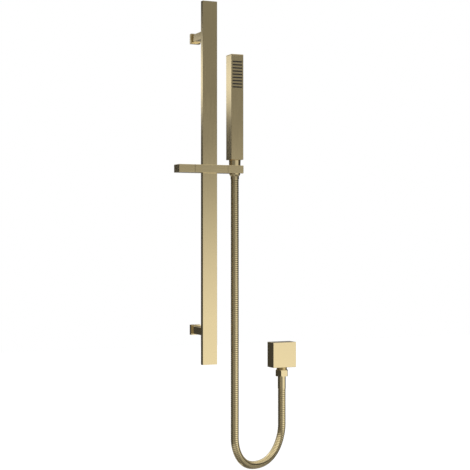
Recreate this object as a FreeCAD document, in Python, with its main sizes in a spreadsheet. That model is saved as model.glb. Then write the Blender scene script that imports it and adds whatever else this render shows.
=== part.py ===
import FreeCAD, Part
import math
import os
import re
import Sketcher
from FreeCAD import Rotation, Vector

# A square slide-rail shower kit for a wall, in millimetres.
# +X to the right, +Y into the wall, +Z up. The origin is on the wall, midway between the two wall
# fixings. The handset rests in its holder and the slider is clamped a little above mid rail.

doc = FreeCAD.newDocument("slide_rail_shower")

SIZES = {
    # rail
    "rail_length": 700, "rail_width": 30, "rail_depth": 10, "rail_wall": 1.5, "rail_standoff": 70,
    "cap_plate": 1.2, "cap_plug": 6,
    # wall brackets
    "fixing_spacing": 575, "flange_side": 20, "flange_depth": 8, "post_side": 15,
    "boss_radius": 4.5, "boss_length": 30, "boss_disc_radius": 8.5, "boss_disc_depth": 2,
    "fixing_hole_radius": 3, "post_end_wall": 10, "nut_plate_side": 14, "nut_plate_depth": 3,
    "rail_screw_radius": 2.5, "rail_screw_head_radius": 4.2, "rail_screw_head_depth": 4,
    "grub_radius": 2,
    # slider arm
    "arm_length": 134, "arm_height": 15.4, "slider_height": 26.9, "block_length": 68,
    "liner_wall": 1.5, "holder_wall": 1.05, "holder_liner_wall": 0.9, "hose_slot": 16.5,
    "clamp_screw_radius": 4, "clamp_bush_radius": 6.5, "clamp_bush_length": 10, "pad_side": 9,
    "pad_length": 5, "knob_thread_depth": 18, "bolt_radius": 4, "bolt_head_radius": 5.5,
    "bolt_head_depth": 2.6, "bolt_thread_depth": 12, "washer_radius": 6.8, "washer_depth": 1.4,
    # handset
    "handset_side": 25.5, "handset_bottom": 45.7, "handset_length": 204.3, "shell_wall": 1.5,
    "handset_cap": 2, "handset_plug": 6, "nozzle_count": 9, "nozzle_pitch": 6.13,
    "nozzle_width": 20.6, "nozzle_height": 2.6, "nozzle_first": 14.6, "spray_sheet": 1.6,
    "chamber_depth": 9, "water_tube_radius": 5, "water_tube_wall": 1.2,
    # conical hose nut and upper hose end
    "cone_top_radius": 11.75, "cone_end_radius": 10.6, "cone_length": 31, "cone_round": 2.6,
    "collar_length": 6.2, "spigot_radius": 10, "spigot_length": 3.8, "seal_depth": 1.6,
    # wall outlet
    "outlet_side": 51, "outlet_depth": 28.4, "outlet_across": 185.7, "outlet_height": -342.8,
    "outlet_wall": 2, "inlet_radius": 9.3, "inlet_length": 13, "elbow_wall": 3.2,
    "neck_radius": 10.5, "neck_bore": 6.5, "neck_show": 5.8, "neck_thread": 5,
    "hose_nut_flats": 24, "hose_nut_length": 12.6, "hose_nut_lip": 3.4,
    "ferrule_radius": 8.15, "ferrule_length": 26, "gasket_radius": 20, "gasket_depth": 1.2,
    # hose
    "hose_radius": 7.5, "hose_wall": 0.7, "hose_bore_gap": 0.2,
    # clearances
    "running_gap": 0.05, "slide_gap": 0.1, "seat_gap": 0.1, "turn_gap": 0.3, "edge_round": 0.5,
}

sheet = doc.addObject("Spreadsheet::Sheet", "Sizes")
for row, (alias, value) in enumerate(SIZES.items(), start=1):
    sheet.set("A%d" % row, alias)
    sheet.set("B%d" % row, str(value))
    sheet.setAlias("B%d" % row, alias)
doc.recompute()


def sized(expression):
    """The expression with each named size pointed at its cell."""
    return re.sub(r"[a-z][a-z_]+", lambda m: "Sizes." + m[0] if m[0] in SIZES else m[0], expression)


def bind(obj, **expressions):
    for prop, expression in expressions.items():
        obj.setExpression(prop.replace("__", "."), sized(expression))
    return obj


TURNS = {"X": Rotation(Vector(0, 1, 0), 90), "Y": Rotation(Vector(1, 0, 0), -90), "Z": Rotation()}


def move(obj, axis, x, y, z):
    """Point the object's own Z along a row axis and put its origin at x, y, z."""
    obj.Placement.Rotation = TURNS[axis]
    return bind(obj, Placement__Base__x=x, Placement__Base__y=y, Placement__Base__z=z)


def block(name, x, y, z):
    """A box from the low to the high side of each axis, each given as (low, high)."""
    box = doc.addObject("Part::Box", name)
    sides = [f"({high}) - ({low})" for low, high in (x, y, z)]
    bind(box, Length=sides[0], Width=sides[1], Height=sides[2])
    return move(box, "Z", x[0], y[0], z[0])


def rod(name, axis, radius, start, end, across):
    """A cylinder along a row axis; across gives its place on the other two axes."""
    cylinder = doc.addObject("Part::Cylinder", name)
    bind(cylinder, Radius=radius, Height=f"({end}) - ({start})")
    place = list(across)
    place.insert("XYZ".index(axis), start)
    return move(cylinder, axis, *place)


def fuse(name, *shapes):
    joined = doc.addObject("Part::MultiFuse", name)
    joined.Shapes = list(shapes)
    joined.Refine = True
    return joined


def cut(name, base, *tools):
    tool = tools[0] if len(tools) == 1 else fuse(name + "_tools", *tools)
    result = doc.addObject("Part::Cut", name)
    result.Base = base
    result.Tool = tool
    return result


def round_edges(name, base, chosen, radius="edge_round"):
    """Fillet the edges of base for which chosen(edge) is true."""
    doc.recompute()
    fillet = doc.addObject("Part::Fillet", name)
    fillet.Base = base
    size = float(sheet.get(radius))
    edges = enumerate(base.Shape.Edges, start=1)
    fillet.Edges = [(number, size, size) for number, edge in edges if chosen(edge)]
    return fillet


def outer_edges(base, axes="XYZ"):
    """Picks straight edges on the outside of a block-like shape, along the given axes."""
    doc.recompute()
    limits = base.Shape.BoundBox
    low = (limits.XMin, limits.YMin, limits.ZMin)
    high = (limits.XMax, limits.YMax, limits.ZMax)

    def chosen(edge):
        if not isinstance(edge.Curve, Part.Line):
            return False
        way = edge.tangentAt(edge.FirstParameter)
        middle = edge.CenterOfMass
        along = [i for i in range(3) if abs(abs(way[i]) - 1) < 1e-6]
        if not along or "XYZ"[along[0]] not in axes:
            return False
        others = [i for i in range(3) if i != along[0]]
        return all(min(abs(middle[i] - low[i]), abs(middle[i] - high[i])) < 1e-6 for i in others)
    return chosen


def turned(name, axis, x, y, z, profile):
    """A lathe-turned piece: profile lists (radius, height) from its own origin along axis."""
    body = doc.addObject("PartDesign::Body", name)
    sketch = body.newObject("Sketcher::SketchObject", name + "_profile")
    plane = [f for f in body.Origin.OriginFeatures if f.Role == "XZ_Plane"][0]
    sketch.AttachmentSupport = [(plane, "")]
    sketch.MapMode = "FlatFace"
    corners = [Vector(1 + number, 2 * number, 0) for number in range(len(profile))]
    for number, corner in enumerate(corners):
        sketch.addGeometry(Part.LineSegment(corner, corners[(number + 1) % len(corners)]))
    for number, point in enumerate(profile):
        sketch.addConstraint(Sketcher.Constraint("Coincident", number - 1, 2, number, 1)
                             if number else
                             Sketcher.Constraint("Coincident", len(profile) - 1, 2, 0, 1))
        for way, expression in zip(("DistanceX", "DistanceY"), point):
            place = sketch.addConstraint(Sketcher.Constraint(way, -1, 1, number, 1, 1.0))
            sketch.setExpression("Constraints[%d]" % place, sized(expression))
    turning = body.newObject("PartDesign::Revolution", name + "_turning")
    turning.Profile = sketch
    turning.ReferenceAxis = (sketch, ["V_Axis"])
    turning.Angle = 360
    return move(body, axis, x, y, z)


pieces = {}


def piece(node, shape):
    """Name a finished sub-part; its Label names its file."""
    shape.Label = node
    pieces[node] = shape
    return shape


# Places that several pieces share, each worked out from the sizes.
RAIL_BACK = "-rail_standoff"
RAIL_FRONT = "-(rail_standoff + rail_depth)"
RAIL_Y = "-(rail_standoff + rail_depth / 2)"
HAND_X = "(arm_length / 2 - handset_side / 2)"
SOCKET = "(cone_top_radius + holder_liner_wall)"
ARM_HALF_DEPTH = f"({SOCKET} + holder_wall)"
ARM_FRONT = f"({RAIL_Y} - {ARM_HALF_DEPTH})"
ARM_BACK = f"({RAIL_Y} + {ARM_HALF_DEPTH})"
ARM_TOP = "(slider_height + arm_height / 2)"
ARM_BOTTOM = "(slider_height - arm_height / 2)"
BLOCK_END = "(block_length / 2)"
LINER_X = "(rail_width / 2 + slide_gap + liner_wall)"
LINER_Y = "(rail_depth / 2 + slide_gap + liner_wall)"

# --- Rail: a rectangular brass tube, 1.5 mm wall, with a plug cap in each end. -----------------
tube_half = "(rail_length / 2 - cap_plate)"
tube = block("rail_tube", ("-rail_width / 2", "rail_width / 2"), (RAIL_FRONT, RAIL_BACK),
             (f"-{tube_half}", tube_half))
tube = round_edges("rail_rounded", tube, outer_edges(tube, "Z"))
inside = block("rail_inside", ("rail_wall - rail_width / 2", "rail_width / 2 - rail_wall"),
               (f"{RAIL_FRONT} + rail_wall", f"{RAIL_BACK} - rail_wall"),
               (f"-{tube_half} - 1", f"{tube_half} + 1"))
screw_holes = [rod(f"rail_screw_hole_{side}", "Y", "rail_screw_radius + 0.2",
                   f"{RAIL_BACK} - rail_wall - 0.5", f"{RAIL_BACK} + 0.5",
                   ("0", f"{sign}fixing_spacing / 2"))
               for side, sign in (("top", ""), ("bottom", "-"))]
piece("rail", cut("rail_body", tube, inside, *screw_holes))

PLUG_FIT = "(rail_wall + running_gap)"
for side, plate_z, plug_z in (
        ("top", (tube_half, "rail_length / 2"), (f"{tube_half} - cap_plug", tube_half)),
        ("bottom", ("-rail_length / 2", f"-{tube_half}"), (f"-{tube_half}", f"cap_plug - {tube_half}"))):
    plate = block(f"cap_{side}_plate", ("-rail_width / 2", "rail_width / 2"),
                  (RAIL_FRONT, RAIL_BACK), plate_z)
    plate = round_edges(f"cap_{side}_rounded", plate, outer_edges(plate, "Z"))
    plug = block(f"cap_{side}_plug", (f"{PLUG_FIT} - rail_width / 2", f"rail_width / 2 - {PLUG_FIT}"),
                 (f"{RAIL_FRONT} + {PLUG_FIT}", f"{RAIL_BACK} - {PLUG_FIT}"), plug_z)
    piece(f"rail_cap_{side}", fuse(f"cap_{side}", plate, plug))

# --- Brackets: post and flange on a boss that the wall screw holds. --------------------------
nut_plates = []
rail_screws = []
grub_screws = []
for side, sign in (("top", ""), ("bottom", "-")):
    height = f"({sign}fixing_spacing / 2)"

    def square(name, half, start, end):
        return block(name, (f"-({half})", half), (start, end),
                     (f"{height} - ({half})", f"{height} + {half}"))

    disc_front = "-boss_disc_depth"
    post = square(f"post_{side}_bar", "post_side / 2", RAIL_BACK, f"{disc_front} - running_gap")
    post = round_edges(f"post_{side}_rounded", post, outer_edges(post, "Y"))
    floor_y = f"({RAIL_BACK} + post_end_wall)"
    bore = rod(f"post_{side}_bore", "Y", "boss_radius + running_gap", floor_y, "0",
               ("0", height))
    end_hole = rod(f"post_{side}_end_hole", "Y", "rail_screw_radius + 0.2",
                   f"{RAIL_BACK} - 1", f"{floor_y} + 1", ("0", height))
    grub_y = f"{disc_front} - boss_length / 2"
    grub_hole = rod(f"post_{side}_grub_hole", "Z", "grub_radius + running_gap",
                    f"{height} - post_side / 2 - 1", height, ("0", grub_y))
    piece(f"post_{side}", cut(f"post_{side}_body", post, bore, end_hole, grub_hole))

    flange = square(f"flange_{side}_block", "flange_side / 2", "-flange_depth", "0")
    flange = round_edges(f"flange_{side}_rounded", flange, outer_edges(flange, "Y"))
    window = square(f"flange_{side}_window", "post_side / 2 + running_gap",
                    "-flange_depth - 1", "0")
    recess = rod(f"flange_{side}_recess", "Y", "boss_disc_radius + running_gap",
                 f"{disc_front} - running_gap", "1", ("0", height))
    piece(f"flange_{side}", cut(f"flange_{side}_body", flange, window, recess))

    piece(f"wall_boss_{side}", turned(
        f"wall_boss_{side}_turned", "Y", "0", f"{disc_front} - boss_length", height,
        [("fixing_hole_radius", "0"), ("boss_radius", "0"), ("boss_radius", "boss_length"),
         ("boss_disc_radius", "boss_length"),
         ("boss_disc_radius", "boss_length + boss_disc_depth"),
         ("fixing_hole_radius", "boss_length + boss_disc_depth")]))

    nut_back = f"{RAIL_BACK} - rail_wall"
    plate = square(f"nut_plate_{side}_blank", "nut_plate_side / 2",
                   f"{nut_back} - nut_plate_depth", nut_back)
    thread = rod(f"nut_plate_{side}_thread", "Y", "rail_screw_radius + running_gap",
                 f"{nut_back} - nut_plate_depth - 1", f"{nut_back} + 1", ("0", height))
    nut_plates.append(cut(f"nut_plate_{side}", plate, thread))
    shank = rod(f"rail_screw_{side}_shank", "Y", "rail_screw_radius",
                f"{nut_back} - nut_plate_depth", floor_y, ("0", height))
    head = rod(f"rail_screw_{side}_head", "Y", "rail_screw_head_radius", floor_y,
               f"{floor_y} + rail_screw_head_depth", ("0", height))
    socket = rod(f"rail_screw_{side}_socket", "Y", "rail_screw_radius * 0.8",
                 f"{floor_y} + rail_screw_head_depth / 2",
                 f"{floor_y} + rail_screw_head_depth + 1", ("0", height))
    rail_screws.append(cut(f"rail_screw_{side}", fuse(f"rail_screw_{side}_solid", shank, head),
                           socket))
    grub_screws.append(rod(f"grub_screw_{side}", "Z", "grub_radius",
                           f"{height} - post_side / 2", f"{height} - boss_radius",
                           ("0", grub_y)))
piece("nut_plates", fuse("nut_plate_pair", *nut_plates))
piece("rail_screws", fuse("rail_screw_pair", *rail_screws))
piece("grub_screws", fuse("grub_screw_pair", *grub_screws))

# --- Slider block: a cast brass block around the rail, lined with nylon. ----------------------
ARM_Z = (ARM_BOTTOM, ARM_TOP)
ARM_Y = (ARM_FRONT, ARM_BACK)
bar = block("block_blank", (f"-{BLOCK_END}", BLOCK_END), ARM_Y, ARM_Z)
bar = round_edges("block_rounded", bar, outer_edges(bar, "X"))
opening = block("block_opening",
                (f"-({LINER_X} + running_gap)", f"{LINER_X} + running_gap"),
                (f"{RAIL_Y} - ({LINER_Y} + running_gap)", f"{RAIL_Y} + {LINER_Y} + running_gap"),
                (f"{ARM_BOTTOM} - 1", f"{ARM_TOP} + 1"))
AXLE = (RAIL_Y, "slider_height")
bush_seat = rod("block_bush_seat", "X", "clamp_bush_radius + running_gap",
                f"-{BLOCK_END} - 1", f"clamp_bush_length - {BLOCK_END}", AXLE)
pad_half = "(pad_side / 2 + slide_gap)"
pad_way = block("block_pad_way", (f"clamp_bush_length - {BLOCK_END} - 0.5", f"-{LINER_X}"),
                (f"{RAIL_Y} - {pad_half}", f"{RAIL_Y} + {pad_half}"),
                (f"slider_height - {pad_half}", f"slider_height + {pad_half}"))
bolt_hole = rod("block_bolt_hole", "X", "bolt_radius + running_gap",
                f"{BLOCK_END} - bolt_thread_depth", f"{BLOCK_END} + 1", AXLE)
piece("slider_block", cut("block_body", bar, opening, bush_seat, pad_way, bolt_hole))

sleeve = block("liner_blank", (f"-{LINER_X}", LINER_X),
               (f"{RAIL_Y} - {LINER_Y}", f"{RAIL_Y} + {LINER_Y}"),
               (f"{ARM_BOTTOM} + 0.3", f"{ARM_TOP} - 0.3"))
rail_way = block("liner_way", ("-(rail_width / 2 + slide_gap)", "rail_width / 2 + slide_gap"),
                 (f"{RAIL_FRONT} - slide_gap", f"{RAIL_BACK} + slide_gap"),
                 (f"{ARM_BOTTOM} - 1", f"{ARM_TOP} + 1"))
pad_window = block("liner_pad_window", (f"-{LINER_X} - 1", "-rail_width / 2"),
                   (f"{RAIL_Y} - {pad_half}", f"{RAIL_Y} + {pad_half}"),
                   (f"slider_height - {pad_half}", f"slider_height + {pad_half}"))
piece("slider_liner", cut("liner_body", sleeve, rail_way, pad_window))

piece("clamp_bush", turned(
    "clamp_bush_turned", "X", f"-{BLOCK_END}", *AXLE,
    [("clamp_screw_radius + running_gap", "0"), ("clamp_bush_radius", "0"),
     ("clamp_bush_radius", "clamp_bush_length"),
     ("clamp_screw_radius + running_gap", "clamp_bush_length")]))

# --- Clamp knob: the square left end of the arm, with its screw, and the pad that it presses. --
KNOB_INNER = f"-({BLOCK_END} + turn_gap)"
knob = block("knob_blank", ("-arm_length / 2", KNOB_INNER), ARM_Y, ARM_Z)
knob = round_edges("knob_rounded", knob, outer_edges(knob))
knob_thread = rod("knob_thread", "X", "clamp_screw_radius",
                  f"{KNOB_INNER} - knob_thread_depth", f"{KNOB_INNER} + 1", AXLE)
piece("clamp_knob", cut("knob_body", knob, knob_thread))
PAD_FACE = "-(rail_width / 2 + turn_gap)"
PAD_BACK = f"({PAD_FACE} - pad_length)"
piece("clamp_screw", rod("clamp_screw_rod", "X", "clamp_screw_radius",
                         f"{KNOB_INNER} - knob_thread_depth", PAD_BACK, AXLE))
piece("clamp_pad", block("clamp_pad_block", (PAD_BACK, PAD_FACE),
                         (f"{RAIL_Y} - pad_side / 2", f"{RAIL_Y} + pad_side / 2"),
                         ("slider_height - pad_side / 2", "slider_height + pad_side / 2")))

# --- Swivel: a shoulder bolt in the block that the holder turns on, with a friction washer. ----
HOLDER_INNER = f"({BLOCK_END} + turn_gap)"
BOLT_FLOOR = f"({HAND_X} - {SOCKET} - bolt_head_depth - 0.8)"
shank_length = f"({BOLT_FLOOR} + running_gap - ({BLOCK_END} - bolt_thread_depth))"
piece("swivel_bolt", turned(
    "swivel_bolt_turned", "X", f"{BLOCK_END} - bolt_thread_depth", *AXLE,
    [("0", "0"), ("bolt_radius", "0"), ("bolt_radius", shank_length),
     ("bolt_head_radius", shank_length), ("bolt_head_radius", f"{shank_length} + bolt_head_depth"),
     ("bolt_radius * 0.5", f"{shank_length} + bolt_head_depth"),
     ("bolt_radius * 0.5", f"{shank_length} + bolt_head_depth / 2"),
     ("0", f"{shank_length} + bolt_head_depth / 2")]))
piece("friction_washer", turned(
    "friction_washer_turned", "X", BLOCK_END, *AXLE,
    [("bolt_radius + running_gap", "0"), ("washer_radius", "0"), ("washer_radius", "washer_depth"),
     ("bolt_radius + running_gap", "washer_depth")]))

# --- Holder: the right end of the arm, bored for the conical nut, slotted for the hose. --------
holder = block("holder_blank", (HOLDER_INNER, "arm_length / 2"), ARM_Y, ARM_Z)
holder = round_edges("holder_rounded", holder, outer_edges(holder))
socket_bore = rod("holder_bore", "Z", SOCKET, f"{ARM_BOTTOM} - 1", f"{ARM_TOP} + 1",
                  (HAND_X, RAIL_Y))
SLOT_X = (HAND_X, f"arm_length / 2 + {SOCKET}")
SLOT_Y = (f"{RAIL_Y} - hose_slot / 2", f"{RAIL_Y} + hose_slot / 2")
SLOT_Z = (f"{ARM_BOTTOM} - 1", f"{ARM_TOP} + 1")
hose_way = block("holder_slot", SLOT_X, SLOT_Y, SLOT_Z)
bolt_way = rod("holder_bolt_way", "X", "bolt_radius + running_gap", BLOCK_END, HAND_X, AXLE)
head_seat = rod("holder_head_seat", "X", "bolt_head_radius + seat_gap", BOLT_FLOOR, HAND_X, AXLE)
washer_seat = rod("holder_washer_seat", "X", "washer_radius + seat_gap", BLOCK_END,
                  f"{BLOCK_END} + washer_depth + running_gap", AXLE)
piece("holder", cut("holder_body", holder, socket_bore, hose_way, bolt_way, head_seat,
                    washer_seat))

TAPER = "((cone_top_radius - cone_end_radius) / cone_length)"
NUT_TOP = "(handset_bottom - turn_gap)"


def cone_radius(height):
    return f"(cone_top_radius - {TAPER} * ({NUT_TOP} - ({height})))"


liner_low = f"({ARM_BOTTOM} + 0.3)"
liner_high = f"({ARM_TOP} - 0.3)"
liner_ring = turned(
    "holder_liner_ring", "Z", HAND_X, RAIL_Y, liner_low,
    [(f"{cone_radius(liner_low)} + seat_gap", "0"), (f"{SOCKET} - running_gap", "0"),
     (f"{SOCKET} - running_gap", f"{liner_high} - {liner_low}"),
     (f"{cone_radius(liner_high)} + seat_gap", f"{liner_high} - {liner_low}")])
liner_slot = block("holder_liner_slot", SLOT_X, SLOT_Y, SLOT_Z)
piece("holder_liner", cut("holder_liner_body", liner_ring, liner_slot))

# --- Handset: a square brass tube with a cap, a base and a slotted spray face. -----------------
SIDE = "handset_side / 2"
HAND_TOP = "(handset_bottom + handset_length)"


def hand_square(name, inset, low, high):
    """A square prism on the handset's own axis, inset from its outside."""
    half = f"({SIDE} - ({inset}))"
    return block(name, (f"{HAND_X} - {half}", f"{HAND_X} + {half}"),
                 (f"{RAIL_Y} - {half}", f"{RAIL_Y} + {half}"), (low, high))


shell = hand_square("shell_blank", "0", "handset_bottom", f"{HAND_TOP} - handset_cap")
shell = round_edges("shell_rounded", shell, outer_edges(shell, "Z"))
hollow = hand_square("shell_hollow", "shell_wall", "handset_bottom - 1", f"{HAND_TOP} + 1")
HAND_FRONT = f"({RAIL_Y} - {SIDE})"


def nozzle_bars(name, ease, front, back):
    """The row of upright-spaced bars, each eased by ease all round, from front to back."""
    bars = []
    for number in range(int(sheet.get("nozzle_count"))):
        middle = f"({HAND_TOP} - nozzle_first - {number} * nozzle_pitch)"
        wide = f"(nozzle_width / 2 + ({ease}))"
        tall = f"(nozzle_height / 2 + ({ease}))"
        bars.append(block(f"{name}_{number + 1}", (f"{HAND_X} - {wide}", f"{HAND_X} + {wide}"),
                          (front, back), (f"{middle} - {tall}", f"{middle} + {tall}")))
    return bars


slots = nozzle_bars("shell_slot", "0", f"{HAND_FRONT} - 1", f"{HAND_FRONT} + shell_wall + 1")
piece("handset_shell", cut("shell_body", shell, hollow, *slots))

cap = hand_square("handset_cap_plate", "0", f"{HAND_TOP} - handset_cap", HAND_TOP)
cap = round_edges("handset_cap_rounded", cap, outer_edges(cap))
cap_plug = hand_square("handset_cap_plug", "shell_wall + running_gap",
                       f"{HAND_TOP} - handset_cap - handset_plug", f"{HAND_TOP} - handset_cap")
piece("handset_cap", fuse("handset_cap_body", cap, cap_plug))

FACE_LOW = f"({HAND_TOP} - nozzle_first - (nozzle_count - 1) * nozzle_pitch - nozzle_height / 2)"
FACE_HIGH = f"({HAND_TOP} - nozzle_first + nozzle_height / 2)"
CHAMBER_X = (f"{HAND_X} - nozzle_width / 2", f"{HAND_X} + nozzle_width / 2")
INSERT_FRONT = f"({HAND_FRONT} + shell_wall + running_gap)"
INSERT_BACK = f"({INSERT_FRONT} + spray_sheet)"
insert_sheet = block("spray_insert_sheet", CHAMBER_X, (INSERT_FRONT, INSERT_BACK),
                     (f"{FACE_LOW} - 1.5", f"{FACE_HIGH} + 1.5"))
teeth = nozzle_bars("spray_bar", "-running_gap", f"{HAND_FRONT} + 0.3", INSERT_BACK)
piece("spray_insert", fuse("spray_insert_body", insert_sheet, *teeth))

CHAMBER_BACK = f"({INSERT_BACK} + chamber_depth)"
chamber = block("chamber_blank", CHAMBER_X, (INSERT_BACK, CHAMBER_BACK),
                (f"{FACE_LOW} - 1.5", f"{FACE_HIGH} + 1.5"))
chamber_room = block("chamber_room", (f"{CHAMBER_X[0]} + 1.5", f"{CHAMBER_X[1]} - 1.5"),
                     (f"{INSERT_BACK} - 1", f"{CHAMBER_BACK} - 1.5"), (FACE_LOW, FACE_HIGH))
TUBE_Y = f"({INSERT_BACK} + chamber_depth / 2 + 0.5)"
chamber_inlet = rod("chamber_inlet", "Z", "chamber_depth / 2 - 2", f"{FACE_LOW} - 3",
                    f"{FACE_LOW} + 1", (HAND_X, TUBE_Y))
piece("spray_chamber", cut("chamber_body", chamber, chamber_room, chamber_inlet))

BASE_TOP = "(handset_bottom + handset_plug)"
tube_low = BASE_TOP
tube_high = f"({FACE_LOW} - 1.5)"
water_outer = rod("water_tube_outer", "Z", "chamber_depth / 2 - 0.5", tube_low, tube_high,
                  (HAND_X, TUBE_Y))
water_bore = rod("water_tube_bore", "Z", "chamber_depth / 2 - 0.5 - water_tube_wall",
                 f"{tube_low} - 1", f"{tube_high} + 1", (HAND_X, TUBE_Y))
piece("water_tube", cut("water_tube_body", water_outer, water_bore))

base_plate = hand_square("base_plate", "shell_wall + running_gap", "handset_bottom", BASE_TOP)
spigot = rod("base_spigot", "Z", "spigot_radius", "handset_bottom - spigot_length",
             "handset_bottom + 1", (HAND_X, RAIL_Y))
base_bore = rod("base_bore", "Z", "spigot_radius - 3", "handset_bottom - spigot_length - 1",
                "handset_bottom + handset_plug / 2", (HAND_X, RAIL_Y))
base_way = rod("base_way", "Z", "chamber_depth / 2 - 0.5 - water_tube_wall", "handset_bottom",
               f"{BASE_TOP} + 1", (HAND_X, TUBE_Y))
piece("handset_base", cut("base_body", fuse("base_solid", base_plate, spigot), base_bore,
                          base_way))

# --- Conical nut and the hose's upper end, inside it. ------------------------------------------
STEP = "(spigot_length + 2 * seal_depth - turn_gap)"
nut_bottom = "(cone_length + collar_length)"
piece("conical_nut", turned(
    "conical_nut_turned", "Z", HAND_X, RAIL_Y, f"{NUT_TOP} - {nut_bottom}",
    [("hose_radius + hose_bore_gap", "0"), ("hose_radius + 0.8", "0"),
     ("hose_radius + 0.8", "collar_length - cone_round * 0.2"),
     ("cone_end_radius - cone_round * 0.45", "collar_length + cone_round * 0.3"),
     ("cone_end_radius", "collar_length + cone_round"),
     ("cone_top_radius - edge_round / 2", f"{nut_bottom} - edge_round"),
     ("cone_top_radius - edge_round", nut_bottom),
     ("spigot_radius + running_gap", nut_bottom),
     ("spigot_radius + running_gap", f"{nut_bottom} - {STEP}"),
     ("hose_radius + hose_bore_gap", f"{nut_bottom} - {STEP}")]))
SPIGOT_END = "(handset_bottom - spigot_length)"
ring = [("seal_depth + 3", "0"), ("spigot_radius - 0.2", "0"), ("spigot_radius - 0.2", "seal_depth"),
        ("seal_depth + 3", "seal_depth")]
piece("strainer_washer", turned("strainer_washer_turned", "Z", HAND_X, RAIL_Y,
                                f"{SPIGOT_END} - seal_depth", ring))
piece("hose_end_upper", turned("hose_end_upper_turned", "Z", HAND_X, RAIL_Y,
                               f"{SPIGOT_END} - 2 * seal_depth", ring))

# --- Wall outlet: a square cover over an elbow with a threaded inlet. --------------------------
OUT_Y = "(-outlet_depth / 2)"
OUT_LOW = "(outlet_height - outlet_side / 2)"


def outlet_square(name, inset, front, back):
    half = f"(outlet_side / 2 - ({inset}))"
    return block(name, (f"outlet_across - {half}", f"outlet_across + {half}"), (front, back),
                 (f"outlet_height - {half}", f"outlet_height + {half}"))


cover = outlet_square("cover_blank", "0", "-outlet_depth", "0")
cover = round_edges("cover_rounded", cover, outer_edges(cover))
cover_room = outlet_square("cover_room", "outlet_wall", "outlet_wall - outlet_depth", "1")
neck_way = rod("cover_neck_way", "Z", "neck_radius + 1", f"{OUT_LOW} - 1",
               f"{OUT_LOW} + outlet_wall + 1", ("outlet_across", OUT_Y))
piece("outlet_cover", cut("cover_body", cover, cover_room, neck_way))

ELBOW_RADIUS = "(inlet_radius + elbow_wall)"
ELBOW_FRONT = "(outlet_wall + 2 - outlet_depth)"
THREAD_END = f"({OUT_LOW} - neck_show - neck_thread)"
barrel = rod("elbow_barrel", "Y", ELBOW_RADIUS, ELBOW_FRONT, "0",
             ("outlet_across", "outlet_height"))
elbow_flange = rod("elbow_flange", "Y", "gasket_radius", "-gasket_depth - 3", "-gasket_depth",
                   ("outlet_across", "outlet_height"))
neck = rod("elbow_neck", "Z", "neck_radius", THREAD_END, "outlet_height",
           ("outlet_across", OUT_Y))
inlet = rod("elbow_inlet", "Y", "inlet_radius", "-inlet_length", "1",
            ("outlet_across", "outlet_height"))
neck_hole = rod("elbow_neck_hole", "Z", "neck_bore", f"{THREAD_END} - 1", "outlet_height",
                ("outlet_across", OUT_Y))
piece("outlet_elbow", cut("elbow_body", fuse("elbow_solid", barrel, elbow_flange, neck),
                          inlet, neck_hole))

piece("wall_gasket", turned(
    "wall_gasket_turned", "Y", "outlet_across", "-gasket_depth", "outlet_height",
    [(f"{ELBOW_RADIUS} + seat_gap", "0"), ("gasket_radius", "0"),
     ("gasket_radius", "gasket_depth"), (f"{ELBOW_RADIUS} + seat_gap", "gasket_depth")]))
piece("neck_ring", turned(
    "neck_ring_turned", "Z", "outlet_across", OUT_Y, OUT_LOW,
    [("neck_radius", "0.3"), ("neck_radius + 1", "0.3"), ("neck_radius + 1", "outlet_wall"),
     ("neck_radius", "outlet_wall")]))
piece("check_valve", turned(
    "check_valve_turned", "Z", "outlet_across", OUT_Y, f"{THREAD_END} + 2",
    [("2", "0"), ("neck_bore - running_gap", "0"), ("neck_bore - running_gap", "14"),
     ("4", "14"), ("4", "3"), ("2", "3")]))

# --- Hexagon hose nut, washer and ferrule at the hose's lower end. -----------------------------
HEX_TOP = f"({OUT_LOW} - neck_show)"
HEX_LOW = f"({HEX_TOP} - hose_nut_length)"
hexagon = doc.addObject("Part::Prism", "hose_nut_hexagon")
hexagon.Polygon = 6
bind(hexagon, Circumradius="hose_nut_flats / sqrt(3)", Height="hose_nut_length")
move(hexagon, "Z", "outlet_across", OUT_Y, HEX_LOW)
crown = doc.addObject("Part::Cone", "hose_nut_crown")
bind(crown, Radius1="hose_nut_flats / sqrt(3) + 6", Radius2="hose_nut_flats / sqrt(3) - 0.9",
     Height="hose_nut_length + 0.1")
move(crown, "Z", "outlet_across", OUT_Y, HEX_LOW)
foot = doc.addObject("Part::Cone", "hose_nut_foot")
bind(foot, Radius1="hose_nut_flats / sqrt(3) - 0.9", Radius2="hose_nut_flats / sqrt(3) + 6",
     Height="hose_nut_length + 0.1")
move(foot, "Z", "outlet_across", OUT_Y, HEX_LOW)
hex_solid = doc.addObject("Part::MultiCommon", "hose_nut_solid")
hex_solid.Shapes = [hexagon, crown, foot]
LIP = f"({HEX_LOW} + hose_nut_lip)"
nut_thread = rod("hose_nut_thread", "Z", "neck_radius + running_gap", LIP, f"{HEX_TOP} + 1",
                 ("outlet_across", OUT_Y))
nut_lip = rod("hose_nut_lip_hole", "Z", "ferrule_radius + seat_gap", f"{HEX_LOW} - 1",
              f"{LIP} + 1", ("outlet_across", OUT_Y))
piece("hose_nut", cut("hose_nut_body", hex_solid, nut_thread, nut_lip))

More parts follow.
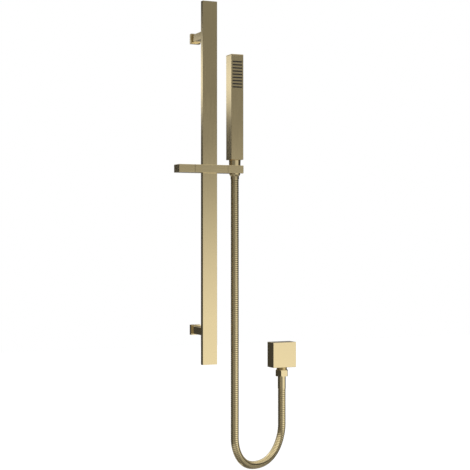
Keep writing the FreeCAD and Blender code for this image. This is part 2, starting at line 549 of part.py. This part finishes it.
FERRULE_HEAD = "(ferrule_length + hose_nut_lip + seal_depth)"
piece("hose_ferrule", turned(
    "hose_ferrule_turned", "Z", "outlet_across", OUT_Y, f"{HEX_LOW} - ferrule_length",
    [("4.5", "0"), ("ferrule_radius - 0.4", "0"), ("ferrule_radius", "0.6"),
     ("ferrule_radius", "ferrule_length + hose_nut_lip"),
     ("neck_radius - 0.4", "ferrule_length + hose_nut_lip"),
     ("neck_radius - 0.4", FERRULE_HEAD), ("4.5", FERRULE_HEAD)]))
washer_low = f"({LIP} + seal_depth)"
piece("hose_washer", turned(
    "hose_washer_turned", "Z", "outlet_across", OUT_Y, washer_low,
    [("5", "0"), ("neck_radius - 0.4", "0"), ("neck_radius - 0.4", f"{THREAD_END} - {washer_low}"),
     ("5", f"{THREAD_END} - {washer_low}")]))

# --- Hose: straight down from inside the conical nut, round one loop and up into the ferrule. --
# The points are the corners of its route: the two long stretches hang straight, and the loop
# between them turns more tightly under the handset than under the outlet.
HOSE_ROUTE = [
    (54.25, -75, 38.0), (54.25, -75, -511.5), (69.0, -68.2, -540.2), (94.8, -56.2, -556.2),
    (136.5, -37.0, -556.4), (167.5, -22.6, -537.0), (185.7, -14.2, -502.5), (185.7, -14.2, -412.7),
]


def hose_path(points):
    """Straight runs joined by tangent arcs; each arc takes 0.45 of its shorter run."""
    corners = [Vector(*point) for point in points]
    edges = []
    start = corners[0]
    for before, corner, after in zip(corners, corners[1:], corners[2:]):
        way_in = (corner - before).normalize()
        way_out = (after - corner).normalize()
        reach = 0.45 * min((corner - before).Length, (after - corner).Length)
        half_turn = way_in.getAngle(way_out) / 2
        radius = reach / math.tan(half_turn)
        print("hose turn %.1f degrees, radius %.1f mm" % (math.degrees(2 * half_turn), radius))
        first = corner - way_in * reach
        last = corner + way_out * reach
        inward = (way_out - way_in).normalize()
        middle = corner + inward * (radius / math.cos(half_turn) - radius)
        edges.append(Part.LineSegment(start, first).toShape())
        edges.append(Part.Arc(first, middle, last).toShape())
        start = last
    edges.append(Part.LineSegment(start, corners[-1]).toShape())
    return Part.Wire(edges)


route = hose_path(HOSE_ROUTE)
hose_radius = float(sheet.get("hose_radius"))
bore_radius = hose_radius - float(sheet.get("hose_wall"))


def swept(radius):
    circle = Part.makeCircle(radius, Vector(*HOSE_ROUTE[0]), Vector(0, 0, 1))
    return route.makePipeShell([Part.Wire(circle)], True, False)


hose = doc.addObject("Part::Feature", "hose_tube")
hose.Shape = swept(hose_radius).cut(swept(bore_radius))
piece("hose", hose)

# --- Check every piece, then write the files. ---------------------------------------------------
doc.recompute()
failed = [o.Name for o in doc.Objects if "Invalid" in o.State or "Error" in o.State]
failed += [node for node, shape in pieces.items()
           if shape.Shape.isNull() or not shape.Shape.isValid() or not shape.Shape.Solids]
if failed:
    raise SystemExit("failed: " + ", ".join(failed))
section = math.pi * (hose_radius ** 2 - bore_radius ** 2)
print("hose %.1f mm long, volume %.4f of section times length"
      % (route.Length, hose.Shape.Volume / (section * route.Length)))
os.makedirs("parts", exist_ok=True)
for node, shape in pieces.items():
    shape.Shape.exportStep("parts/%s.step" % node)
print(len(pieces), "sub-parts")
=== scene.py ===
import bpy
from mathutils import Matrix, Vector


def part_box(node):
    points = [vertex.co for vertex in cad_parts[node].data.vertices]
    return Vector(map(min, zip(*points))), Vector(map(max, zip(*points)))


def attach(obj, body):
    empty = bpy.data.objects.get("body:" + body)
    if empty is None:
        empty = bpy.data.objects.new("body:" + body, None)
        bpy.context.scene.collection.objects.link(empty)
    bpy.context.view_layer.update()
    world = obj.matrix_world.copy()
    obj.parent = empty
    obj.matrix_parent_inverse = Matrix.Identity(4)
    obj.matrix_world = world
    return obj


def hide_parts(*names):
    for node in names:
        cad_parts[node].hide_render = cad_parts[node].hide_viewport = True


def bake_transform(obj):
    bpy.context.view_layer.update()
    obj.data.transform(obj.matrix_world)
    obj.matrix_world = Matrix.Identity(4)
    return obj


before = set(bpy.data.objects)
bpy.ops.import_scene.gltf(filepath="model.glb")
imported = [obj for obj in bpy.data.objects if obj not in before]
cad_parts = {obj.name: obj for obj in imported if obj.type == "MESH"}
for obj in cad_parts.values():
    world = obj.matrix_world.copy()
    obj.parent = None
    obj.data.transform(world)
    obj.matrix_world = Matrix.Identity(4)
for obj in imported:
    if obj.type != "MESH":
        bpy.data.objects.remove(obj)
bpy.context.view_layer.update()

import bmesh
import bpy
import numpy as np
from math import pi, radians
from mathutils import Matrix

# --- Camera: level, a little below the slider and to the left, turned towards the rail. A long
# lens keeps the rail's two edges nearly parallel.
CAMERA_PLACE = (-0.9302, -2.2952, -0.1030)
CAMERA_HEADING = 23.925
SENSOR_WIDTH = 36
LENS_LENGTH = 95.6
FRAMING_SHIFT = 0.0030
camera = bpy.data.objects.new("camera", bpy.data.cameras.new("camera"))
camera.location = CAMERA_PLACE
camera.rotation_euler = (radians(90), 0, radians(-CAMERA_HEADING))
camera.data.sensor_width = SENSOR_WIDTH
camera.data.lens = LENS_LENGTH
camera.data.shift_y = FRAMING_SHIFT
bpy.context.scene.collection.objects.link(camera)
bpy.context.scene.camera = camera
bpy.context.scene.view_settings.view_transform = "Standard"


# --- Studio: a white cyclorama, soft fill for the matt pieces, and the cards, walls and strip
# light that the polished metal mirrors.
def linear(colour):
    """The linear RGBA of an sRGB hex value."""
    parts = [int(colour[i:i + 2], 16) / 255 for i in (1, 3, 5)]
    return [p / 12.92 if p <= 0.04045 else ((p + 0.055) / 1.055) ** 2.4 for p in parts] + [1]


def add(tree, kind, inputs=None, **settings):
    """Adds a shader node. inputs maps a socket to its value, or to the output that feeds it."""
    made = tree.nodes.new("ShaderNode" + kind)
    for name, value in settings.items():
        setattr(made, name, value)
    for socket, value in (inputs or {}).items():
        if isinstance(value, bpy.types.NodeSocket):
            tree.links.new(value, made.inputs[socket])
        else:
            made.inputs[socket].default_value = value
    return made


world = bpy.data.worlds.new("studio")
bpy.context.scene.world = world
world.use_nodes = True
sky = world.node_tree
sky.nodes.clear()

# height is degrees above the horizon. turn is degrees round from straight in front of the wall,
# positive to the right, and behind is the same on either side.
direction = add(sky, "SeparateXYZ", {0: add(sky, "TexCoord").outputs["Generated"]}).outputs
height = add(sky, "Math", {0: direction[2]}, operation="ARCSINE").outputs[0]
height = add(sky, "Math", {0: height}, operation="DEGREES").outputs[0]
forwards = add(sky, "Math", {0: direction[1], 1: -1.0}, operation="MULTIPLY").outputs[0]
turn = add(sky, "Math", {0: direction[0], 1: forwards}, operation="ARCTAN2").outputs[0]
turn = add(sky, "Math", {0: turn}, operation="DEGREES").outputs[0]
behind = add(sky, "Math", {0: turn}, operation="ABSOLUTE").outputs[0]

# Each light is the product of its fades. A fade is an angle, the two degrees between which the
# light changes smoothly, and its strength before and after them.
LIGHTS = {
    "low_card": [(turn, -24, 26, 0, 0.98), (turn, 46, 90, 1, 0.08),
                 (height, -5.0, 1.5, 1, 0), (height, -30, -13, 0.05, 1)],
    "tall_card": [(turn, -24, -10, 0, 1), (turn, 42, 54, 1, 0),
                  (height, -5.0, 1.5, 0, 1), (height, -1.5, 5.5, 0.61, 0.19)],
    "strip_light": [(turn, -140, -115, 1, 0),
                    (height, 5.3, 6.3, 0, 1.02), (height, 8.2, 9.4, 1, 0)],
    "left_wall": [(turn, -94, -76, 0.06, 0.18), (turn, -24, 10, 1, 0.22)],
    "left_foot": [(turn, -90, -60, 0, 0.09), (turn, -24, 10, 1, 0), (height, -5, 1, 1, 0)],
    "right_wall": [(turn, 105, 150, 0, 0.18), (height, -4, 8, 0.35, 1)],
    "back_card": [(behind, 163, 180, 0, 0.55)],
    "ground_glow": [(height, -60, -38, 0.08, 0.3), (height, -30, -20, 1, 0)],
    "overhead": [(height, 13, 32, 0, 0.75)],
}
studio = 0.0
for fades in LIGHTS.values():
    light = 1.0
    for angle, start, end, before, after in fades:
        fade = add(sky, "MapRange", {0: angle, 1: start, 2: end, 3: before, 4: after},
                   interpolation_type="SMOOTHSTEP").outputs[0]
        light = add(sky, "Math", {0: light, 1: fade}, operation="MULTIPLY").outputs[0]
    studio = add(sky, "Math", {0: studio, 1: light}, operation="ADD").outputs[0]

WHITE = linear("#FFFFFF")
FILL_STRENGTH = 0.88
ray = add(sky, "LightPath").outputs
mirrored = add(sky, "Background", {"Color": studio, "Strength": 1.0}).outputs[0]
soft_fill = add(sky, "Background", {"Color": WHITE, "Strength": FILL_STRENGTH}).outputs[0]
cyclorama = add(sky, "Background", {"Color": WHITE, "Strength": 1.0}).outputs[0]
lit = add(sky, "MixShader", {0: ray["Is Diffuse Ray"], 1: mirrored, 2: soft_fill}).outputs[0]
seen = add(sky, "MixShader", {0: ray["Is Camera Ray"], 1: lit, 2: cyclorama}).outputs[0]
add(sky, "OutputWorld", {"Surface": seen})

KEY_STRENGTH = 0.9
KEY_SOFTNESS = 25
KEY_TILT, KEY_TURN = 38, 30
key = bpy.data.objects.new("key_light", bpy.data.lights.new("key_light", "SUN"))
key.data.energy = KEY_STRENGTH
key.data.angle = radians(KEY_SOFTNESS)
key.rotation_euler = (radians(KEY_TILT), 0, radians(KEY_TURN))
key.visible_glossy = False
bpy.context.scene.collection.objects.link(key)

FLOOR_HEIGHT = -0.70
FLOOR_HALF_SIZE = 4
sheet = bmesh.new()
bmesh.ops.create_grid(sheet, x_segments=1, y_segments=1, size=FLOOR_HALF_SIZE,
                      matrix=Matrix.Translation((0, 0, FLOOR_HEIGHT)))
floor = bpy.data.objects.new("floor", bpy.data.meshes.new("floor"))
sheet.to_mesh(floor.data)
sheet.free()
bpy.context.scene.collection.objects.link(floor)
painted = bpy.data.materials.new("painted_floor")
painted.use_nodes = True
surface = painted.node_tree.nodes["Principled BSDF"]
surface.inputs["Base Color"].default_value = linear("#FCFCFC")
surface.inputs["Roughness"].default_value = 0.9
surface.inputs["Specular IOR Level"].default_value = 0.0
floor.data.materials.append(painted)
floor.visible_glossy = False


# --- Rail: drawn square brass tube, 30 by 10 mm, closed with a cap at each end and held off the
# wall by two flanges. All are brushed upright and coated, which gives a satin face whose fine
# lines stretch what it mirrors.
def brushed_metal(name, grain, light="#F0DDAD", dark="#E8D4A3", shine=(0.12, 0.17), relief=0.15):
    """Metal brushed along the axis grain. The lines are drawn 0.8 mm apart, coarser than real
    ones, so that they show, and each runs for about 60 mm."""
    line_spacing, line_length, hand_marks = 0.0008, 0.06, 0.07
    material = bpy.data.materials.new(name)
    material.use_nodes = True
    tree = material.node_tree
    place = add(tree, "TexCoord").outputs["Object"]
    scale = [1 / line_length if axis == grain else 1 / line_spacing for axis in "XYZ"]
    lines = add(tree, "Mapping", {"Vector": place, "Scale": scale}).outputs[0]
    lines = add(tree, "TexNoise", {"Vector": lines, "Scale": 1.0, "Detail": 3.0}).outputs[0]
    hands = add(tree, "TexNoise", {"Vector": place, "Scale": 1 / hand_marks, "Detail": 2.0})
    tone = add(tree, "Mix", {0: lines, 6: linear(dark), 7: linear(light)}, data_type="RGBA")
    rough = add(tree, "MapRange", {0: lines, 1: 0.3, 2: 0.7, 3: shine[0], 4: shine[1]})
    worn = add(tree, "MapRange", {0: hands.outputs[0], 1: 0.35, 2: 0.7, 3: -0.01, 4: 0.01})
    rough = add(tree, "Math", {0: rough.outputs[0], 1: worn.outputs[0]}, operation="ADD")
    bumps = add(tree, "Bump", {"Height": lines, "Strength": relief, "Distance": 0.00002})
    surface = tree.nodes["Principled BSDF"]
    surface.inputs["Metallic"].default_value = 1.0
    tree.links.new(tone.outputs[2], surface.inputs["Base Color"])
    tree.links.new(rough.outputs[0], surface.inputs["Roughness"])
    tree.links.new(bumps.outputs[0], surface.inputs["Normal"])
    return material


def dress(material, *nodes):
    """Gives CAD nodes their material."""
    for node in nodes:
        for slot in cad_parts[node].material_slots:
            slot.material = material


upright_brass = brushed_metal("brass_brushed_upright", "Z")
dress(upright_brass, "rail", "rail_cap_top", "rail_cap_bottom", "flange_top", "flange_bottom")

# --- Bracket posts: square brass bars from the flanges to the rail's back, brushed along their
# own length, so the lines run outwards from the wall.
bracket_brass = brushed_metal("brass_brushed_outwards", "Y")
dress(bracket_brass, "post_top", "post_bottom")

# --- Slider arm: a brass block that runs on the rail, a clamp knob on its left end and the
# handset's holder on its right end, each milled from square bar and brushed sideways.
arm_brass = brushed_metal("brass_brushed_sideways", "X")
dress(arm_brass, "slider_block", "clamp_knob", "holder")

# --- Handset: a square brass tube with a cap let into its top, and the conical nut that stands
# in the holder. The same upright brushing as the rail.
dress(upright_brass, "handset_shell", "handset_cap", "conical_nut")

# --- Wall outlet: a square brass cover over the elbow, with the hexagon nut and the ferrule that
# hold the hose's lower end. Brushed upright as well.
dress(upright_brass, "outlet_cover", "hose_nut", "hose_ferrule")

# --- Turned brass: bosses, bush, elbow and hose ends, left as they come off the lathe and not
# coated. A duller and yellower metal than the brushed faces.
turned_brass = brushed_metal("brass_turned", "Z", "#E2C88C", "#D0B478", (0.22, 0.34))
dress(turned_brass, "wall_boss_top", "wall_boss_bottom", "clamp_bush", "outlet_elbow",
      "handset_base", "hose_end_upper")

# --- Screws, swivel bolt and nut plates: machined stainless steel, grey, with the cutter's marks.
steel = brushed_metal("steel_machined", "Z", "#C9C9C6", "#B4B4B2", (0.22, 0.34))
dress(steel, "nut_plates", "rail_screws", "grub_screws", "clamp_screw", "swivel_bolt")


# --- Liners, pad, washers and the water way: moulded acetal, dark and half matt, so the sliding
# faces don't draw the eye.
def moulded(name, light, dark, rough, grit):
    """A moulded plastic or rubber with a fine spark-eroded grain, grit metres across."""
    spread = 0.06
    material = bpy.data.materials.new(name)
    material.use_nodes = True
    tree = material.node_tree
    place = add(tree, "TexCoord").outputs["Object"]
    grain = add(tree, "TexNoise", {"Vector": place, "Scale": 1 / grit, "Detail": 4.0}).outputs[0]
    tone = add(tree, "Mix", {0: grain, 6: linear(dark), 7: linear(light)}, data_type="RGBA")
    matt = add(tree, "MapRange", {0: grain, 1: 0.3, 2: 0.7, 3: rough - spread, 4: rough + spread})
    relief = add(tree, "Bump", {"Height": grain, "Strength": 0.3, "Distance": 0.00005})
    surface = tree.nodes["Principled BSDF"]
    tree.links.new(tone.outputs[2], surface.inputs["Base Color"])
    tree.links.new(matt.outputs[0], surface.inputs["Roughness"])
    tree.links.new(relief.outputs[0], surface.inputs["Normal"])
    return material


acetal = moulded("acetal_moulded", "#3A3834", "#2C2A27", 0.45, 0.0006)
dress(acetal, "slider_liner", "clamp_pad", "friction_washer", "holder_liner", "spray_chamber",
      "water_tube", "check_valve")

# --- Seals: washers, wall gasket and neck ring of moulded nitrile rubber, nearly black and matt.
rubber = moulded("rubber_moulded", "#2A2826", "#1C1B1A", 0.7, 0.0005)
dress(rubber, "strainer_washer", "hose_washer", "wall_gasket", "neck_ring")

# --- Spray face: nine silicone bars that fill the slots in the handset's front. Each carries a
# row of small jets, moulded with the bar, that can be rubbed clean of lime. Dark and soft.
silicone = moulded("silicone_moulded", "#292724", "#1E1D1B", 0.55, 0.0005)
dress(silicone, "spray_insert")
JET_RADIUS = 0.0007
JET_FOOT_RADIUS = JET_RADIUS * 1.15
JET_FOOT_DEPTH = 0.0002
JET_HOLE = 0.0003
JET_HOLE_BOTTOM = 0.00005
JET_RISE = 0.0003
JET_SIDES = 8
JETS_IN_BAR = 8
JET_PITCH = 0.0024
BAR_COUNT = 9
BAR_PITCH = 0.00613
TOP_BAR = 0.0028
one_jet = bmesh.new()
outline = [(JET_FOOT_RADIUS, JET_FOOT_DEPTH), (JET_RADIUS, -JET_RISE * 0.8),
           (JET_RADIUS * 0.8, -JET_RISE), (JET_HOLE, -JET_RISE), (JET_HOLE, -JET_HOLE_BOTTOM)]
jet_points = [one_jet.verts.new((away, rise, 0)) for away, rise in outline]
jet_edges = [one_jet.edges.new(pair) for pair in zip(jet_points, jet_points[1:])]
bmesh.ops.spin(one_jet, geom=jet_points + jet_edges, axis=(0, 1, 0), cent=(0, 0, 0),
               angle=2 * pi, steps=JET_SIDES, use_merge=True)
bmesh.ops.holes_fill(one_jet, edges=[e for e in one_jet.edges if e.is_boundary],
                     sides=JET_SIDES)
bmesh.ops.recalc_face_normals(one_jet, faces=one_jet.faces)
jet_mesh = bpy.data.meshes.new("spray_jet")
one_jet.to_mesh(jet_mesh)
one_jet.free()

face_low, face_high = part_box("spray_insert")
bar_middle = (face_low.x + face_high.x) / 2
jets = bmesh.new()
for bar in range(BAR_COUNT):
    for number in range(JETS_IN_BAR):
        jets.from_mesh(jet_mesh)
        place = (bar_middle + (number - (JETS_IN_BAR - 1) / 2) * JET_PITCH, face_low.y,
                 face_high.z - TOP_BAR - bar * BAR_PITCH)
        bmesh.ops.translate(jets, verts=jets.verts[-len(jet_mesh.vertices):], vec=place)
bpy.data.meshes.remove(jet_mesh)
spray_jets = bpy.data.objects.new("spray_jets", bpy.data.meshes.new("spray_jets"))
jets.to_mesh(spray_jets.data)
jets.free()
spray_jets.data.materials.append(silicone)
bpy.context.scene.collection.objects.link(spray_jets)
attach(spray_jets, "handset")

# --- Hose: a brass strip rolled into a profile and wound into a tube whose turns lock into each
# other. It hangs from the conical nut, turns through a loop and goes up into the ferrule.
HOSE_ROUTE = [(0.05425, -0.0750, 0.0380), (0.05425, -0.0750, -0.4785),
              (0.05425, -0.0750, -0.5115), (0.0690, -0.0682, -0.5402),
              (0.0948, -0.0562, -0.5562), (0.1365, -0.0370, -0.5564),
              (0.1675, -0.0226, -0.5370), (0.1857, -0.0142, -0.5025),
              (0.1857, -0.0142, -0.4626), (0.1857, -0.0142, -0.4127)]
line = bpy.data.curves.new("hose_line", "CURVE")
line.dimensions = "3D"
line.resolution_u = 32
spline = line.splines.new("NURBS")
spline.points.add(len(HOSE_ROUTE) - 1)
for point, place in zip(spline.points, HOSE_ROUTE):
    point.co = (*place, 1)
spline.order_u = 3
spline.use_endpoint_u = True
carrier = bpy.data.objects.new("hose_line", line)
traced = bpy.data.meshes.new_from_object(carrier)
stations = np.array([v.co for v in traced.vertices])
bpy.data.objects.remove(carrier)
bpy.data.meshes.remove(traced)
steps = np.diff(stations, axis=0)
walked = np.concatenate([[0], np.cumsum(np.linalg.norm(steps, axis=1))])
headings = np.gradient(stations, walked, axis=0)
headings /= np.linalg.norm(headings, axis=1)[:, None]
side = np.cross(stations[-1] - stations[0], (0, 0, 1))
side /= np.linalg.norm(side)
HOSE_LENGTH = walked[-1]

# One turn of the strip: a groove, a wide flat crown and a groove. A point is its share of the
# pitch and how far it stands from the crown. The turns are stacked into one straight tube.
HOSE_RADIUS = 0.0078
RIB_PITCH = 0.0038
RIB_GROOVE = 0.0009
RIB_WALL = RIB_GROOVE * 0.4
RIB_EDGE = 0.00002
RIB_SIDES = 24
rib = [(0, -RIB_GROOVE), (0.04, -RIB_GROOVE), (0.07, -RIB_WALL), (0.10, -RIB_EDGE), (0.15, 0),
       (0.85, 0), (0.90, -RIB_EDGE), (0.93, -RIB_WALL), (0.96, -RIB_GROOVE), (1, -RIB_GROOVE)]
one_turn = bmesh.new()
rib_points = [one_turn.verts.new((HOSE_RADIUS + rise, 0, (share - 1) * RIB_PITCH))
              for share, rise in rib]
rib_edges = [one_turn.edges.new(pair) for pair in zip(rib_points, rib_points[1:])]
bmesh.ops.spin(one_turn, geom=rib_points + rib_edges, axis=(0, 0, 1), cent=(0, 0, 0),
               dvec=(0, 0, RIB_PITCH / RIB_SIDES), angle=2 * pi, steps=RIB_SIDES)
turn_mesh = bpy.data.meshes.new("hose_turn")
one_turn.to_mesh(turn_mesh)
one_turn.free()
wound = bmesh.new()
for number in range(int(HOSE_LENGTH / RIB_PITCH) + 3):
    wound.from_mesh(turn_mesh)
    bmesh.ops.translate(wound, verts=wound.verts[-len(turn_mesh.vertices):],
                        vec=(0, 0, number * RIB_PITCH))
bmesh.ops.remove_doubles(wound, verts=wound.verts, dist=1e-5)
bmesh.ops.recalc_face_normals(wound, faces=wound.faces)
bpy.data.meshes.remove(turn_mesh)

# The strip is brighter than the rail. Its grooves, marked by the mesh's own groove attribute,
# are painted near black, part oxide and part painted shade, which draws the fine dark rings round
# the hose.
hose_brass = brushed_metal("brass_wound_strip", "Z", "#F0DDAD", "#E6D29F", (0.05, 0.08), 0.05)
groove_oxide_and_shade = add(hose_brass.node_tree, "Attribute", attribute_name="groove").outputs["Fac"]
surface = hose_brass.node_tree.nodes["Principled BSDF"]
tone = surface.inputs["Base Color"].links[0].from_socket
# Painted shade and oxide: the colour in the grooves is mixed towards a near-black brown.
tone = add(hose_brass.node_tree, "Mix", {0: groove_oxide_and_shade, 6: tone, 7: linear("#241E14")}, data_type="RGBA")
hose_brass.node_tree.links.new(tone.outputs[2], surface.inputs["Base Color"])


def along(values, distance):
    """A row of values for each distance along the hose's line."""
    return np.stack([np.interp(distance, walked, values[:, i]) for i in range(3)], axis=-1)


def hose_part(name, start, end):
    """The wound tube between two distances along the hose's line, laid on that line."""
    mesh = wound.copy()
    for cut, way in ((start, -1), (end, 1)):
        bmesh.ops.bisect_plane(mesh, geom=mesh.verts[:] + mesh.edges[:] + mesh.faces[:],
                               dist=1e-7, plane_co=(0, 0, cut), plane_no=(0, 0, way),
                               clear_outer=True)
    part = bpy.data.objects.new(name, bpy.data.meshes.new(name))
    mesh.to_mesh(part.data)
    mesh.free()
    points = np.empty(len(part.data.vertices) * 3)
    part.data.vertices.foreach_get("co", points)
    x, y, z = points.reshape(-1, 3).T
    # How deep each point lies in a groove; the hose material paints oxide and shade into the
    # grooves from it.
    depth = np.clip((HOSE_RADIUS - np.hypot(x, y)) / RIB_WALL, 0, 1)
    part.data.attributes.new("groove", "FLOAT", "POINT").data.foreach_set("value", depth)
    heading = along(headings, z)
    heading /= np.linalg.norm(heading, axis=1)[:, None]
    laid = along(stations, z) + x[:, None] * np.cross(side, heading) + y[:, None] * side
    part.data.vertices.foreach_set("co", laid.ravel())
    part.data.shade_smooth()
    part.data.materials.append(hose_brass)
    bpy.context.scene.collection.objects.link(part)
    inside = [p.tolist() for p, w in zip(stations, walked) if start < w < end]
    return part, [along(stations, start).tolist(), *inside, along(stations, end).tolist()]


# The hose is cut in three where its motion would change, though the parts here are laid still: a
# top, which would tilt with the holder, a long leg, which would stretch with the slider, and the
# loop, which would rise and fall and ends in the ferrule.
HOSE_X, HOSE_Y, HOSE_START = HOSE_ROUTE[0]
TOP_END = HOSE_START + 0.085
LEG_END = HOSE_START + 0.490
hose_top, top_path = hose_part("hose_top", 0, TOP_END)
hose_leg, leg_path = hose_part("hose_leg", TOP_END, LEG_END)
hose_loop, loop_path = hose_part("hose_loop", LEG_END, HOSE_LENGTH)
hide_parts("hose")
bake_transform(hose_top)
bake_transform(hose_leg)
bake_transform(hose_loop)
